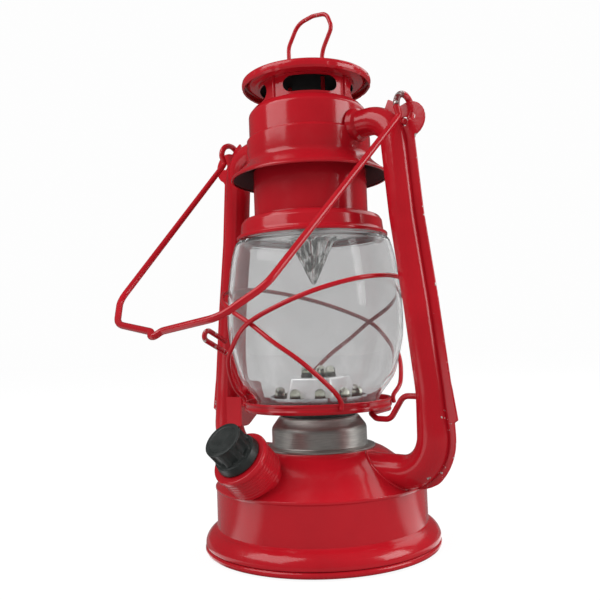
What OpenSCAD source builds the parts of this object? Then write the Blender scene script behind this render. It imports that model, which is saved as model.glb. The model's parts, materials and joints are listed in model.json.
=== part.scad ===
// Battery LED lantern in the hurricane style. +Z is up, the base stands on z = 0,
// the side tubes lie along X and the dimmer knob is at the front, on -Y.

/* [Base] */
// Radius of the rolled rim that the lantern stands on
base_r = 57.5; // [52:0.5:66]
// Height of the rolled rim
rim_h = 3; // [2.4:0.2:4]
// Radius of the base wall
wall_r = 51.4; // [50.6:0.2:51.9]
// Height where the flared foot meets the wall
foot_h = 11.2; // [10:0.2:15]
// Height of the shoulder crease
shoulder_h = 30.3; // [29.5:0.1:33]
// Height of the flat seat on top of the dome
dome_h = 46.6; // [45.6:0.2:50]
// Radius of the flat seat on top of the dome
seat_r = 28.4; // [27.8:0.2:31]
// Thickness of the painted sheet metal
sheet = 0.8; // [0.5:0.1:1]

/* [Batteries] */
// Diameter of one D cell
cell_d = 34.2; // [30:0.2:34.2]
// Length of one D cell over its button
cell_l = 61.5; // [55:0.5:61.5]
// Height of the cells above the ground
cell_z = 4.6; // [4.4:0.1:5]
// Wall of the moulded battery tray
tray_wall = 1.2; // [0.9:0.1:1.2]
// Room for a contact at each end of a cell
contact_room = 2.4; // [2.2:0.1:2.5]

/* [Burner and light] */
// Radius of the steel burner cup
cup_r = 23.5; // [22.5:0.1:25]
// Height of the burner cup
cup_h = 15.6; // [13:0.2:18]
// Radius of the sleeve that carries the light deck
holder_r = 18; // [17:0.2:19]
// Radius of the light deck
deck_r = 24.6; // [24:0.2:25.2]
// Number of LEDs in the outer ring
ring_leds = 10; // [8:2:12]
// Number of LEDs on the centre block
top_leds = 5; // [3:1:5]
// Diameter of one LED
led_d = 5; // [4:0.1:5]

/* [Globe and guard] */
// Radius of the globe plate
plate_r = 36.5; // [35.5:0.1:38]
// Height of the globe plate's edge
plate_h = 4.8; // [4:0.2:6]
// Largest radius of the clear globe
globe_r = 43.7; // [42:0.1:44]
// Height of the clear globe up to its shoulder
globe_h = 83; // [78:0.5:88]
// Wall of the clear globe
globe_wall = 2; // [1.2:0.1:2.2]
// Diameter of the guard wire
guard_d = 2.2; // [1.6:0.1:2.4]
// Travel of the globe when the lever is pressed
lift_travel = 8; // [6:0.5:8]

/* [Chimney and hood] */
// Radius of the collar's lip
collar_r = 37.8; // [37:0.1:39]
// Height of the gap between the collar's top and the hood's skirt
chimney_gap = 19; // [16:0.5:24]
// Travel of the chimney when its ring is pulled
ring_lift = 12; // [9:0.5:12]
// Radius of the hood's skirt
skirt_r = 39.8; // [38:0.2:41]
// Radius of the hood's lower wall
hood_r = 31.2; // [31:0.1:32.6]
// Height of the hood from skirt to shoulder
hood_h = 36.6; // [34:0.2:40]
// Radius of the slotted vent neck
neck_r = 24.4; // [23.8:0.1:25.4]
// Height of the vent neck
neck_h = 10.4; // [9.8:0.2:13]
// Radius of the cap's rim
cap_r = 32.8; // [31:0.2:36]

/* [Wires and tubes] */
// Radius of the side tubes
tube_r = 6.5; // [5.8:0.1:6.8]
// Widest distance of the tubes from the centre line
tube_x = 66.4; // [65.8:0.2:69]
// Distance of the seam flange's edge from the tube's centre line
flange_w = 10.6; // [9.6:0.2:11.4]
// Thickness of the seam flange
flange_t = 1; // [0.8:0.1:1.8]
// Diameter of the bail wire
bail_d = 3; // [2.4:0.1:3.2]
// Reach of the bail from its pivot
bail_reach = 143; // [140:1:165]
// Angle of the resting bail below the horizontal
bail_angle = 45; // [35:0.2:46]
// Radius of the bail's eyes
eye_r = 6.3; // [5.6:0.1:7]
// Diameter of the lift ring's wire
ring_d = 2.1; // [1.8:0.1:2.4]
// Diameter of the lift lever's wire
lever_d = 2.7; // [2.2:0.1:2.8]

/* [Dimmer] */
// Tilt of the spout above the horizontal
spout_angle = 43; // [40:0.5:48]
// Radius of the spout's top flange
spout_r = 13.5; // [12.6:0.1:14]
// Radius of the knob's skirt
knob_r = 10.7; // [9.8:0.1:11.4]
// Length of the knob
knob_l = 13.2; // [11.5:0.1:16]

/* [Hidden] */
$fn = 64;

// Shared clearances
gap = 0.3;       // between curved faces that move past each other
fit = 0.05;      // running fit of a pin in its hole
seam = 0.05;     // between pieces that are fixed together
big = 400;       // longer than anything that it cuts
eps = 0.01;

// Heights of the stack, from the base upwards
cup_top = dome_h + cup_h;
deck_z = cup_top + 7.4;
deck_t = 1.4;
plate_z = cup_top + 3.2;
plate_top = plate_z + plate_h;
plate_floor = 1;
globe_z = plate_z + plate_floor + seam;
globe_top = globe_z + globe_h;
collar_z = globe_top + gap;
collar_h = 11.6;
hood_step = 1.4;
chimney_r = hood_r - hood_step - sheet - 0.5;
skirt_z = collar_z + collar_h + chimney_gap;
hood_top = skirt_z + hood_h;
neck_top = hood_top + neck_h;
cap_z = neck_top - 0.8;

// Paints and materials
red = [0.69, 0.1, 0.14];
steel = [0.52, 0.51, 0.48];
chrome = [0.86, 0.87, 0.88];
black = [0.1, 0.12, 0.11];

// Small vector tools
function unit(v) = v / norm(v);
function last(p) = p[len(p) - 1];
function flip(p) = [for (i = [len(p) - 1:-1:0]) p[i]];

// An arc of radius r that rounds the corner b between a and c
function corner(a, b, c, r, n) =
  let (u = unit(a - b), v = unit(c - b))
  let (half = acos(max(-1, min(1, u * v))) / 2, turn = 180 - 2 * half)
  let (p = b + u * r / tan(half), q = b + v * r / tan(half), m = b + unit(u + v) * r / sin(half))
  [for (i = [0:n]) m + (sin((1 - i / n) * turn) * (p - m) + sin(i / n * turn) * (q - m)) / sin(turn)];

// A run of straight lengths with rounded bends, as wire and tube are bent
function bent(pts, radii, n = 6) = [
  pts[0],
  for (i = [1:len(pts) - 2]) each corner(pts[i - 1], pts[i], pts[i + 1], radii[i - 1], n),
  last(pts)
];

// A smooth curve through points
function smooth(p, n) = [
  for (i = [0:len(p) - 2]) for (k = [0:n - 1])
    let (a = p[max(i - 1, 0)], b = p[i], c = p[i + 1], d = p[min(i + 2, len(p) - 1)], t = k / n)
    0.5 * (2 * b + (c - a) * t + (2 * a - 5 * b + 4 * c - d) * t * t + (3 * b - a - 3 * c + d) * t * t * t),
  last(p)
];

// A flat path moved sideways by t, to its left for positive t
function beside(p, t) = [
  for (i = [0:len(p) - 1])
    let (d = unit(p[min(i + 1, len(p) - 1)] - p[max(i - 1, 0)]))
    p[i] + t * [-d.y, d.x]
];

// Directions along a path, and a sideways direction that turns with it
function headings(p) = [
  for (i = [0:len(p) - 1]) unit(p[min(i + 1, len(p) - 1)] - p[max(i - 1, 0)])
];
function square_to(n, t) = unit(n - (n * t) * t);
function sides(t, n0) = [
  for (i = 0, n = square_to(n0, t[0]); i < len(t);
       i = i + 1, n = i < len(t) ? square_to(n, t[i]) : n) n
];
function rings(p, r, s, n0) =
  let (t = headings(p), n = sides(t, n0))
  [for (i = [0:len(p) - 1]) for (k = [0:s - 1])
    p[i] + r * (cos(360 * k / s) * n[i] + sin(360 * k / s) * cross(t[i], n[i]))];
function skin(m, s, base = 0) = [
  for (i = [0:m - 2]) for (k = [0:s - 1])
    let (a = base + i * s + k, b = base + i * s + (k + 1) % s)
    each [[a, a + s, b + s], [a, b + s, b]]
];

// A round wire along a path
module wire(path, d, n0 = [0, 0, 1], s = 10) {
  m = len(path);
  caps = [[for (k = [0:s - 1]) k], [for (k = [s - 1:-1:0]) (m - 1) * s + k]];
  polyhedron(rings(path, d / 2, s, n0), concat(skin(m, s), caps), convexity = 8);
}

// A sheet of thickness t under a profile of radius and height, turned about Z
module spun(profile, t) {
  rotate_extrude() polygon(concat(profile, flip(beside(profile, t))));
}

// Profiles of the base: the bell-shaped foot is given by shares of its reach and of its height
bell = [[0.95, 0.07], [0.93, 0.25], [0.83, 0.45], [0.72, 0.58], [0.57, 0.71], [0.36, 0.83], [0.13, 0.92], [0, 1]];
function base_profile() = concat(
  [[base_r - 0.4, rim_h + seam]],
  smooth([for (b = bell) [wall_r + (base_r - wall_r) * b[0], rim_h + (foot_h - rim_h) * b[1]]], 2),
  smooth([[wall_r + 0.1, shoulder_h], [wall_r - 5.6, shoulder_h + 4.4],
    [(wall_r + seat_r) / 2, shoulder_h + (dome_h - shoulder_h) * 0.56], [seat_r + 4, dome_h - 2],
    [seat_r, dome_h]], 3)
);
module base_solid(grow) {
  p = base_profile();
  rotate_extrude()
    translate([0, grow]) polygon(concat([[0, rim_h]], p, [[0, dome_h]]));
}

// Frame of the dimmer spout: its origin is the collar's face, its Z runs out along the shaft
spout_y = -(wall_r + 3.8);
spout_z = dome_h + 2.4;
module on_spout() {
  translate([0, spout_y, spout_z]) rotate([90 - spout_angle, 0, 0]) children();
}
face_t = 1.6;
pot_r = 8;
pot_l = 6.4;
bush_r = 3.5;
bush_l = 3;
shaft_r = 3;
nut_h = 2;
bore_r = pot_r + 1;
mouth_l = 26;

// The base shell, open below, with holes for the burner wires and the dimmer
module fount_shell() {
  wire_hole_r = 16;
  color(red) difference() {
    union() {
      spun(base_profile(), sheet);
      translate([0, 0, dome_h - sheet]) cylinder(r = seat_r, h = sheet);
    }
    translate([0, 0, dome_h - 2 * sheet]) cylinder(r = wire_hole_r, h = 4 * sheet);
    on_spout() translate([0, 0, -mouth_l]) cylinder(r = bore_r, h = mouth_l);
  }
}

// Battery bay
cell_gap = 0.4;
cell_y = (cell_d + cell_gap) / 2;
cell_mid = cell_z + cell_d / 2;
bay_x = cell_l / 2 + contact_room;
bay_y = cell_d + cell_gap / 2 + seam;
tray_x = bay_x + tray_wall;
tray_y = bay_y + tray_wall;
pan_z = 1.8;
pan_t = 0.9;
tray_z = pan_z + pan_t;
tray_h = cell_mid - tray_z;
boss_r = 3.4;
boss_h = 9;
boss_x = tray_x + boss_r - 0.6;
boss_y = tray_y + boss_r - 0.6;
screw_r = 1.3;
boss_in = 24;
screw_spots = [
  [boss_x, 0], [-boss_x, 0], [boss_in, boss_y], [-boss_in, boss_y], [boss_in, -boss_y], [-boss_in, -boss_y]
];
hinge_r = 1.6;
hinge_pin_r = 0.8;
hinge_y = tray_y + hinge_r + 0.4;
hinge_z = pan_z + hinge_r - 0.2;
lug_w = 3;
lug_x = 14;
knuckle_w = 7;
arm_t = 1.2;
door_gap = 0.5;
door_t = 1.5;
finger_w = 18;

// The pan that closes the base, with its rolled rim and the battery opening
module bottom_pan() {
  rim_w = 4.2;
  floor_r = base_r - rim_w + 0.6;
  color(red) difference() {
    union() {
      rotate_extrude() union() {
        translate([base_r - rim_h / 2, rim_h / 2]) circle(d = rim_h);
        translate([base_r - rim_w, 0]) square([rim_w - rim_h / 2, rim_h]);
      }
      translate([0, 0, pan_z]) cylinder(r = floor_r, h = pan_t);
    }
    translate([-bay_x, -bay_y, 0]) cube([2 * bay_x, 2 * bay_y, 4 * tray_z]);
    translate([-lug_x - lug_w - door_gap, 0, 0])
      cube([2 * (lug_x + lug_w + door_gap), hinge_y + hinge_r + door_gap, 4 * tray_z]);
    translate([-finger_w / 2, -bay_y - 3, 0]) cube([finger_w, 4, 4 * tray_z]);
    for (p = screw_spots) translate([p.x, p.y, 0]) cylinder(r = screw_r + seam, h = 4 * tray_z);
  }
}

// The moulded tray: four walls, two saddles over the cells, screw bosses and hinge lugs
module battery_tray() {
  saddle_t = 1.6;
  saddle_x = cell_l / 4;
  saddle_top = cell_mid + cell_d / 2 + 0.6;
  color(black) difference() {
    union() {
      difference() {
        translate([-tray_x, -tray_y, tray_z]) cube([2 * tray_x, 2 * tray_y, tray_h]);
        translate([-bay_x, -bay_y, 0]) cube([2 * bay_x, 2 * bay_y, big]);
      }
      for (sx = [-1, 1]) translate([sx * saddle_x - saddle_t / 2, 0, 0]) rotate([90, 0, 90])
        linear_extrude(saddle_t) polygon([
          [-tray_y, tray_z + tray_h - 4], [tray_y, tray_z + tray_h - 4], [tray_y, cell_mid + 5],
          [cell_y + 4, saddle_top], [-cell_y - 4, saddle_top], [-tray_y, cell_mid + 5]]);
      for (p = screw_spots) translate([p.x, p.y, tray_z]) cylinder(r = boss_r, h = boss_h);
      for (sx = [-1, 1]) translate([sx * (lug_x + lug_w / 2) - lug_w / 2, tray_y - eps, pan_z])
        cube([lug_w, hinge_y + hinge_r - tray_y, 2 * hinge_r + 1]);
    }
    for (sy = [-1, 1]) translate([-bay_x, sy * cell_y, cell_mid]) rotate([0, 90, 0])
      cylinder(d = cell_d + 2 * seam, h = 2 * bay_x);
    translate([-bay_x, -bay_y, 0]) cube([2 * bay_x, 2 * bay_y, cell_mid]);
    for (p = screw_spots) translate([p.x, p.y, 0]) cylinder(r = screw_r + seam, h = tray_z + boss_h - 1);
    translate([-big / 2, hinge_y, hinge_z]) rotate([0, 90, 0]) cylinder(r = hinge_pin_r + fit, h = big);
    translate([-lug_x, bay_y - 1, 0]) cube([2 * lug_x, tray_wall + 1 + eps, pan_z + arm_t + door_gap]);
    translate([-finger_w / 2, -tray_y - eps, 0]) cube([finger_w, tray_wall + 1, pan_z + door_t + door_gap]);
  }
}

// Two D cells side by side, one turned end for end
module battery_cells() {
  button_r = 4.8;
  button_h = 1.5;
  for (s = [-1, 1]) color([0.62, 0.6, 0.55])
    translate([0, s * cell_y, cell_mid]) rotate([0, s * 90, 0]) translate([0, 0, -cell_l / 2]) {
      cylinder(d = cell_d, h = cell_l - button_h);
      cylinder(r = button_r, h = cell_l);
    }
}

// Sprung contacts at the flat ends, shown as their squeezed cones
contact_w = 14;
contact_t = 0.4;
module contact_springs() {
  cone_h = contact_room - contact_t;
  for (s = [-1, 1]) color(chrome)
    translate([-s * bay_x, s * cell_y, cell_mid]) rotate([0, s * 90, 0]) {
      translate([-contact_w / 2, -contact_w / 2, 0]) cube([contact_w, contact_w, contact_t]);
      difference() {
        translate([0, 0, contact_t]) cylinder(r1 = 6.5, r2 = 4, h = cone_h);
        cylinder(r = 3, h = 2 * contact_room);
      }
    }
}

// Flat contacts at the button ends, with a boss that meets the button
module contact_plates() {
  boss_r = 4;
  for (s = [-1, 1]) color([0.8, 0.68, 0.4])
    translate([s * bay_x, s * cell_y, cell_mid]) rotate([0, -s * 90, 0]) {
      translate([-contact_w / 2, -contact_w / 2, 0]) cube([contact_w, contact_w, contact_t]);
      cylinder(r = boss_r, h = contact_room);
    }
}

module tray_screws() {
  head_r = 2.6;
  head_h = 1.3;
  slot_w = 0.7;
  for (p = screw_spots) color(chrome) translate([p.x, p.y, 0]) difference() {
    union() {
      translate([0, 0, pan_z - head_h]) cylinder(r = head_r, h = head_h);
      translate([0, 0, pan_z - eps]) cylinder(r = screw_r, h = boss_h - 1);
    }
    for (a = [0, 90]) rotate(a) translate([-head_r * 0.7, -slot_w / 2, 0])
      cube([head_r * 1.4, slot_w, pan_z - head_h / 2]);
  }
}

module door_hinge_pin() {
  color(chrome) translate([-lug_x - lug_w, hinge_y, hinge_z]) rotate([0, 90, 0])
    cylinder(r = hinge_pin_r, h = 2 * (lug_x + lug_w));
}

// The battery door: a ribbed panel on two knuckles, with a finger tab at the front
module battery_door() {
  door_x = bay_x - door_gap;
  door_y = bay_y - door_gap;
  rib_h = 1;
  color(black) difference() {
    union() {
      translate([-door_x, -door_y, pan_z]) cube([2 * door_x, 2 * door_y, door_t]);
      translate([-finger_w / 2 + door_gap, -door_y - 2.4, pan_z])
        cube([finger_w - 2 * door_gap, 4, door_t]);
      for (x = [-0.6, 0, 0.6]) translate([x * door_x - 1, -door_y + 4, pan_z])
        cube([2, 2 * door_y - 8, door_t + rib_h]);
      for (s = [-1, 1]) translate([s * (lug_x - door_gap - knuckle_w / 2), 0, 0]) {
        translate([-knuckle_w / 2, hinge_y, hinge_z]) rotate([0, 90, 0])
          cylinder(r = hinge_r, h = knuckle_w);
        translate([-knuckle_w / 2, door_y - 2, pan_z]) cube([knuckle_w, hinge_y - door_y + 2, arm_t]);
      }
    }
    translate([-big / 2, hinge_y, hinge_z]) rotate([0, 90, 0]) cylinder(r = hinge_pin_r + fit, h = big);
  }
}

// The short filler neck on the dome that now holds the dimmer: a stem with a threaded sleeve
module spout_collar() {
  body_r = spout_r - 0.9;
  body_l = 15;
  stem_r = bore_r + 1.4;
  lip_h = 2.6;
  ridges = 3;
  ridge_pitch = 2.6;
  color(red) difference() {
    on_spout() difference() {
      union() {
        translate([0, 0, -mouth_l]) cylinder(r = stem_r, h = mouth_l);
        translate([0, 0, -body_l]) cylinder(r = body_r, h = body_l);
        translate([0, 0, -lip_h]) cylinder(r = spout_r, h = lip_h);
        for (i = [1:ridges]) translate([0, 0, -lip_h - i * ridge_pitch])
          cylinder(r = body_r + 0.5, h = ridge_pitch / 2);
      }
      translate([0, 0, -mouth_l - eps]) cylinder(r = bore_r, h = mouth_l - face_t);
      translate([0, 0, -mouth_l]) cylinder(r = bush_r + seam, h = big);
    }
    base_solid(seam);
    translate([-big / 2, -big / 2, -big]) cube([big, big, big + shoulder_h]);
  }
}

module dimmer_pot() {
  terminal = [1.2, 4, 0.6];
  color([0.55, 0.56, 0.58]) on_spout() difference() {
    union() {
      translate([0, 0, -face_t - pot_l]) cylinder(r = pot_r, h = pot_l - seam);
      translate([0, 0, -face_t - 2 * seam]) cylinder(r = bush_r, h = face_t + bush_l);
      for (x = [-4, 0, 4]) translate([x - terminal.x / 2, -pot_r / 2, -face_t - pot_l - terminal.y])
        cube([terminal.x, terminal.z, terminal.y + eps]);
    }
    translate([0, 0, -face_t - pot_l / 2 - 1]) cylinder(r = shaft_r + fit, h = big);
  }
}

module pot_nut() {
  across = 10;
  color(chrome) on_spout() difference() {
    cylinder(d = across / cos(30), h = nut_h, $fn = 6);
    translate([0, 0, -eps]) cylinder(r = bush_r + seam, h = nut_h + 1);
  }
}

knob_roof = 3;
module dimmer_shaft() {
  tip = knob_l - knob_roof;
  color(chrome) on_spout()
    translate([0, 0, -face_t - pot_l / 2]) cylinder(r = shaft_r, h = tip + face_t + pot_l / 2);
}

// The black knob: a round skirt and a grip with eight hollows between its ribs
module dimmer_knob() {
  skirt_h = 4.2;
  grip_r = knob_r - 1.9;
  flutes = 8;
  flute_r = 3;
  flute_depth = 1.5;
  flute_end = 0.7;
  hollow_h = bush_l + 0.8;
  hollow_r = 6.6;
  color(black) on_spout() difference() {
    union() {
      translate([0, 0, gap]) cylinder(r = knob_r, h = skirt_h);
      translate([0, 0, gap + skirt_h - eps]) cylinder(r = grip_r, h = knob_l - skirt_h);
    }
    for (i = [0:flutes - 1]) rotate(i * 360 / flutes)
      translate([grip_r + flute_r - flute_depth, 0, gap + skirt_h + flute_end])
        cylinder(r = flute_r, h = knob_l - skirt_h - 2 * flute_end);
    translate([0, 0, -eps]) cylinder(r = hollow_r, h = hollow_h + eps);
    translate([0, 0, -eps]) cylinder(r = shaft_r + seam, h = knob_l - knob_roof + seam);
  }
}

// The grey steel cup between the base and the globe
module burner_cup() {
  brim_r = seat_r - 1;
  color(steel) spun(concat(
    [[brim_r, dome_h + seam], [brim_r, dome_h + 0.9], [cup_r + 0.6, dome_h + 1.2], [cup_r, dome_h + 2],
     [cup_r, dome_h + cup_h * 0.55]],
    smooth([[cup_r - 0.3, dome_h + cup_h * 0.62], [cup_r - 1.8, dome_h + cup_h * 0.85],
     [holder_r + 1.6, cup_top - 0.3], [holder_r + 0.9, cup_top]], 3)), sheet);
}

// The sleeve that rises through the cup and carries the light deck
sleeve_t = 2;
module led_holder() {
  color(black) difference() {
    union() {
      translate([0, 0, dome_h + seam]) cylinder(r = holder_r, h = deck_z - dome_h - 2 * seam);
      translate([0, 0, cup_top - sheet * 3 - 2]) cylinder(r = holder_r + 0.6, h = 2);
    }
    translate([0, 0, dome_h - 1]) cylinder(r = holder_r - sleeve_t, h = big);
  }
}

board_t = 1.6;
module led_board() {
  board_r = holder_r - sleeve_t - seam;
  color([0.1, 0.3, 0.16]) translate([0, 0, deck_z - board_t - seam]) difference() {
    cylinder(r = board_r, h = board_t);
    for (s = [-1, 1]) translate([s * 6, 0, -1]) cylinder(r = 0.9, h = board_t + 2);
  }
}

// The mirror-bright deck round the LEDs
module led_deck() {
  rim_t = 0.9;
  color(chrome) translate([0, 0, deck_z]) difference() {
    cylinder(r = deck_r, h = deck_t + 1.2);
    translate([0, 0, deck_t]) cylinder(r = deck_r - rim_t, h = 4);
  }
}

// The mirrored block in the middle of the deck: two LEDs of the ring stand before each of its sides
block_h = 10;
led_ring_r = 19.8;
top_ring_r = 6.6;
led_lip = 0.3;
block_sides = ring_leds / 2;
block_turn = 43;
block_in = led_ring_r * cos(90 / block_sides) - led_d / 2 - led_lip - 0.13;
block_r = block_in / cos(180 / block_sides);
block_top_r = block_r * 0.835;
module deck_reflector() {
  color(chrome) translate([0, 0, deck_z + deck_t]) rotate(block_turn)
    cylinder(r1 = block_r, r2 = block_top_r, h = block_h, $fn = block_sides);
}

module led() {
  h = 5.4;
  collar_t = 0.9;
  cylinder(d = led_d + 2 * led_lip, h = collar_t);
  cylinder(d = led_d, h = h - led_d / 2);
  translate([0, 0, h - led_d / 2]) sphere(d = led_d);
}
module leds() {
  color([0.92, 0.95, 0.98]) {
    for (i = [0:ring_leds - 1]) rotate(block_turn + (i + 0.5) * 360 / ring_leds)
      translate([led_ring_r, 0, deck_z + deck_t]) led();
    for (i = [0:top_leds - 1]) rotate(block_turn + i * 360 / top_leds)
      translate([top_ring_r, 0, deck_z + deck_t + block_h]) led();
  }
}

// Two leads: cell contacts to the board, and dimmer to the board
lead_d = 1.5;
module lead_wires() {
  board_z = deck_z - board_t - 2 * seam;
  bay_path = [[bay_x - 1, 0, cell_mid + 9], [bay_x - 6, 0, cell_mid + 15.4], [14, 0, cell_z + cell_d + 2.8],
    [6, 0, dome_h - 2], [6, 0, board_z]];
  back = face_t + pot_l + seam;
  pot_y = spout_y + back * cos(spout_angle);
  pot_z = spout_z - back * sin(spout_angle);
  pot_path = [[0, pot_y, pot_z], [0, pot_y + 8, pot_z - 7.4], [0, -26, cell_mid + 17.4],
    [-6, -8, cell_mid + 18.6], [-6, 0, dome_h], [-6, 0, board_z]];
  color([0.75, 0.1, 0.1]) wire(bent(bay_path, [3, 6, 3], 4), lead_d, [0, 1, 0], 8);
  color(black) wire(bent(pot_path, [3, 6, 4, 3], 4), lead_d, [1, 0, 0], 8);
}

// The dished plate under the globe
globe_foot_r = 30.4;
module globe_plate() {
  hole_r = deck_r + 0.8;
  wall_t = 1.2;
  color(red) rotate_extrude() {
    translate([hole_r, plate_z]) square([plate_r - 1 - hole_r, plate_floor]);
    polygon([[plate_r - wall_t - 0.8, plate_z], [plate_r - 0.8, plate_z], [plate_r, plate_z + 1],
      [plate_r, plate_top], [plate_r - wall_t, plate_top], [plate_r - wall_t, plate_z + 1]]);
    translate([globe_foot_r + gap, plate_z]) square([wall_t, plate_floor + 2]);
  }
}

// The clear globe: a foot, a pear-shaped bowl, a shoulder and a short neck
function globe_profile() =
  let (neck = collar_r - 4.4)
  concat(
    [[globe_foot_r, globe_z]],
    smooth([for (p = [[-1, 0.045], [11.7, 0.075], [7.9, 0.133], [5.1, 0.187], [2.7, 0.29],
      [0.6, 0.404], [0, 0.52], [0.4, 0.64], [1.2, 0.745], [2.7, 0.874], [4.3, 0.955], [5.6, 0.988], [8, 1]])
      [p.x < 0 ? globe_foot_r : globe_r - p.x, globe_z + globe_h * p.y]], 3),
    [[neck, globe_top + 0.2], [neck, globe_top + 5]]
  );
module globe() {
  color([0.85, 0.88, 0.9, 0.5]) spun(globe_profile(), globe_wall);
}

// One guard wire climbs from the plate, crosses its twin and passes over one side of the globe
function guard_point(turn, out, up) =
  let (r = globe_r + out)
  [r * cos(turn), r * sin(turn), plate_top + up];
module guard_wire() {
  foot_out = plate_r - globe_r + guard_d / 2 + gap;
  over = guard_d / 2 + seam;
  rise = [[146, foot_out, -2.6], [146, foot_out, 0.8], [139, -2.4, 7], [122, 1.1, 19.4],
    [106, 2.3, 28.8], [90, 2.9, 37.4], [70, 2.5, 45], [48, 2.2, 51.4], [24, 2.1, 56], [0, 2.1, 57.6]];
  half = [for (p = rise) guard_point(-p.x, p.y + (p.x == 90 ? over : 0), p.z)];
  rest = [for (p = flip(rise)) if (p.x > 0) guard_point(p.x, p.y - (p.x == 90 ? over : 0), p.z)];
  color(red) wire(smooth(concat(half, rest), 4), guard_d, [1, 0, 0], 8);
}
module guard_wire_right() { guard_wire(); }
module guard_wire_left() { rotate(180) guard_wire(); }

// The collar that sits on the globe's shoulder
module globe_collar() {
  color(red) spun([[collar_r - 3.2, collar_z], [collar_r, collar_z], [collar_r, collar_z + 1.6],
    [collar_r - 1.6, collar_z + 2.6], [collar_r - 2.4, collar_z + 8.2],
    [collar_r - 4.4, collar_z + 10.4], [chimney_r + sheet + seam, collar_z + collar_h - 0.7],
    [chimney_r + sheet + seam, collar_z + collar_h]], sheet);
}

// The inner chimney that slides up inside the hood
chimney_room = 7;
chimney_top = hood_top - lift_travel - ring_lift - chimney_room;
module chimney_tube() {
  foot_z = collar_z + 6;
  crimp_h = 5;
  crimp = 0.9;
  color(red) spun([[chimney_r, foot_z], [chimney_r, chimney_top - crimp_h - 1],
    [chimney_r - crimp, chimney_top - crimp_h], [chimney_r - crimp, chimney_top]], sheet);
}

// The mirrored cone and dish at the top of the globe
module cone_reflector() {
  dish_r = collar_r - 4.4 - globe_wall - 0.5;
  cone_r = 10.6;
  cone_h = 22.4;
  mirror_t = 0.7;
  dish_z = collar_z - 0.4;
  plug_r = chimney_r - sheet - seam;
  plug_h = 6;
  color(chrome) {
    spun(concat([[0, dish_z - cone_h], [1.2, dish_z - cone_h]],
      smooth([[cone_r, dish_z - 1], [cone_r + 3.4, dish_z + 1], [dish_r - 8, dish_z + 2.6],
        [dish_r, dish_z + 3]], 3)), mirror_t);
    translate([0, 0, dish_z + 3]) difference() {
      cylinder(r = plug_r, h = plug_h);
      translate([0, 0, -1]) cylinder(r = plug_r - mirror_t, h = plug_h + 2);
    }
  }
}

// The lift ring's wire legs stand in a strip across the chimney
ring_x = 11;
strip_z = chimney_top - 5;
strip_t = 1.2;
module ring_crossbar() {
  strip_w = 7;
  half = chimney_r - 0.9 - sheet - 2 * seam;
  color(steel) difference() {
    intersection() {
      translate([-half, -strip_w / 2, strip_z]) cube([2 * half, strip_w, strip_t]);
      translate([0, 0, strip_z]) cylinder(r = half, h = strip_t);
    }
    for (s = [-1, 1]) translate([s * ring_x, 0, strip_z - 1])
      cylinder(d = ring_d + 2 * seam, h = strip_t + 2);
  }
}

// The lift ring above the cap, leaning a little to one side as it is bent by hand
module lift_ring() {
  top = neck_top + 36;
  leg_top = neck_top + 15.6;
  path = [[-ring_x, 0, strip_z - 1.4], [-ring_x, 0, leg_top + 9], [-4, 0, top - 1], [6, 0, top],
    [15, 0, top - 1.6], [18, 0, top - 9.4], [ring_x, 0, leg_top], [ring_x, 0, strip_z - 1.4]];
  color(red) wire(bent(path, [7, 9, 12, 5.5, 5, 14], 6), ring_d, [0, 1, 0], 10);
}

// The hood: a flared skirt, two stepped walls and a shoulder
crease_z = skirt_z + 20.4;
module hood_shell() {
  upper_r = hood_r - hood_step;
  ledge = upper_r - neck_r;
  color(red) spun(concat(
    [[skirt_r - 0.9, skirt_z - 0.5], [skirt_r, skirt_z], [skirt_r - 0.2, skirt_z + 1]],
    smooth([[skirt_r - 1.4, skirt_z + 2.2], [hood_r + 2.6, skirt_z + 5.4], [hood_r + 0.5, skirt_z + 7.6],
      [hood_r, skirt_z + 9]], 3),
    [[hood_r, crease_z - 0.6], [upper_r, crease_z + 0.4], [upper_r, hood_top - 5]],
    smooth([[upper_r - ledge * 0.09, hood_top - 2.8], [upper_r - ledge * 0.37, hood_top - 1.2],
      [neck_r + ledge * 0.3, hood_top - 0.3], [neck_r - sheet, hood_top]], 3)), sheet);
}

// The vent neck with four slots and a rib between them
module vent_neck() {
  slot_w = 26;
  slot_h = 8;
  rib_r = 0.9;
  color(red) difference() {
    union() {
      translate([0, 0, hood_top + seam]) cylinder(r = neck_r, h = neck_h - 2 * seam);
      for (i = [0:3]) rotate(i * 90) translate([neck_r, 0, hood_top + seam])
        cylinder(r = rib_r, h = neck_h - 2 * seam);
    }
    translate([0, 0, hood_top - 1]) cylinder(r = neck_r - sheet, h = neck_h + 2);
    for (i = [0:3]) rotate(45 + i * 90) translate([0, 0, hood_top + neck_h / 2]) rotate([90, 0, 90])
      linear_extrude(big) {
        square([slot_w - slot_h, slot_h], center = true);
        for (s = [-1, 1]) translate([s * (slot_w - slot_h) / 2, 0]) circle(d = slot_h);
      }
  }
}

// The dished cap with its rim turned down
module top_cap() {
  color(red) difference() {
    spun([[0, neck_top + 4], [8, neck_top + 4], [14, neck_top + 3.7], [neck_r - 4, neck_top + 2.6],
      [neck_r - 1.6, neck_top + sheet], [neck_r + 1.6, neck_top + sheet], [neck_r + 4, neck_top + 1.4],
      [cap_r - 3.2, neck_top + 3.4], [cap_r - 1.6, neck_top + 3.7], [cap_r - 0.5, neck_top + 3.1],
      [cap_r, neck_top + 1.9], [cap_r - 0.1, cap_z + 1], [cap_r - 0.8, cap_z]], -sheet);
    for (s = [-1, 1]) translate([s * ring_x, 0, neck_top - 2]) cylinder(d = ring_d + 2 * gap, h = 10);
  }
}

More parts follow.
